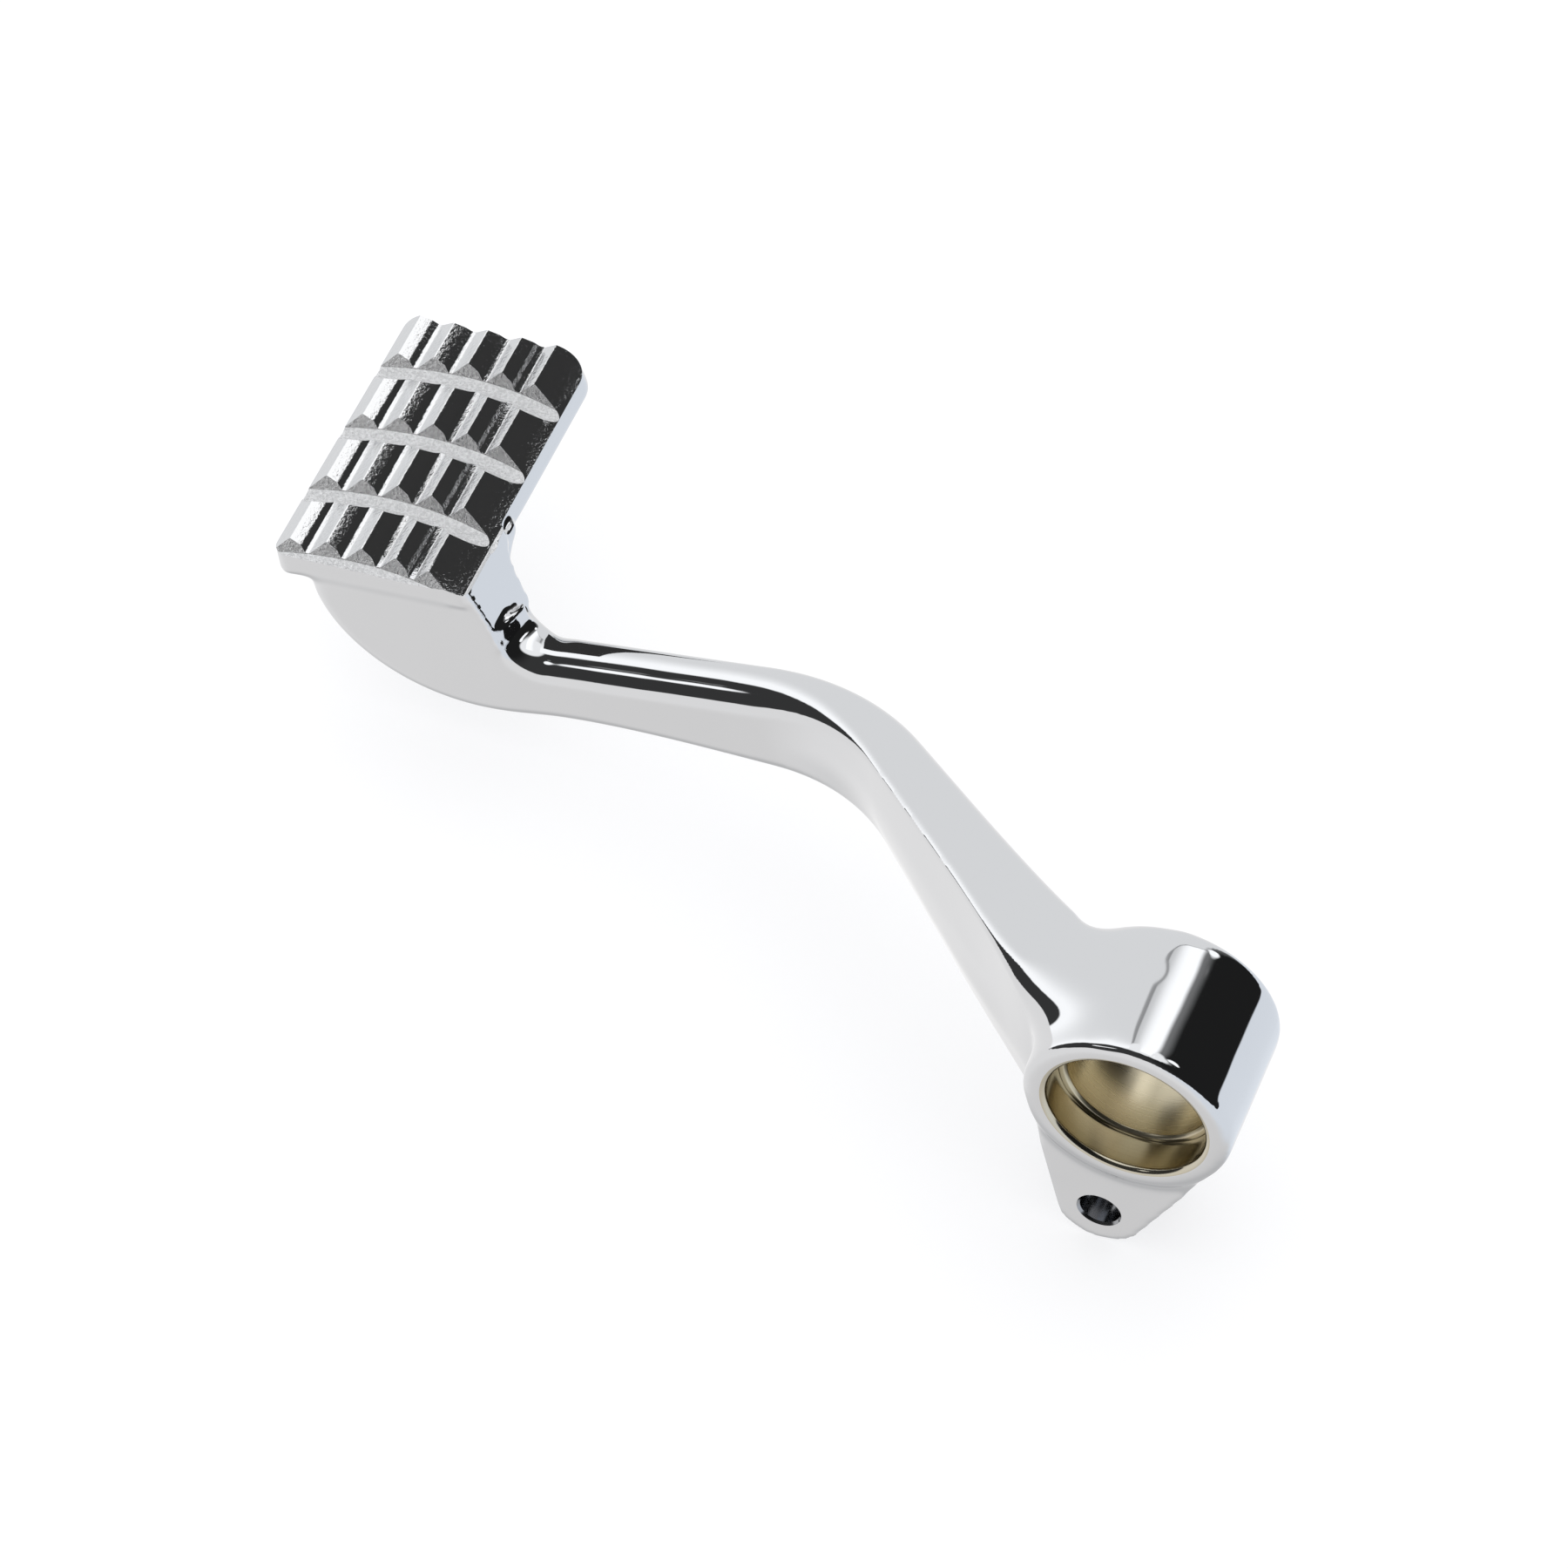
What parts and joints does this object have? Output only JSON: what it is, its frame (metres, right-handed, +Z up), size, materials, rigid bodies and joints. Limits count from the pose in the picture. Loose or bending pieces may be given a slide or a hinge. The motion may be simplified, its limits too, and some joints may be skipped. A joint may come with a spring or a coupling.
{
  "type": "rear brake pedal",
  "caption": "Chromed one-piece brake pedal arm with a ribbed foot pad, a bushed pivot boss and a forked rod lug.",
  "frame": {"origin": "on the pivot axis, half way along the pivot boss", "axes": "+Y along the pivot axis, towards the bike; +X level and forward, from the pivot to the foot pad; +Z up, with the pedal pitched nose down as it stands on a bench"},
  "size_m": [0.2298, 0.1401, 0.0647],
  "materials": {
    "casting": "polished",
    "bushing": "satin"
  },
  "bodies": {
    "root": {"pedal_casting": "casting", "bushing": "bushing"}
  },
  "joints": []
}
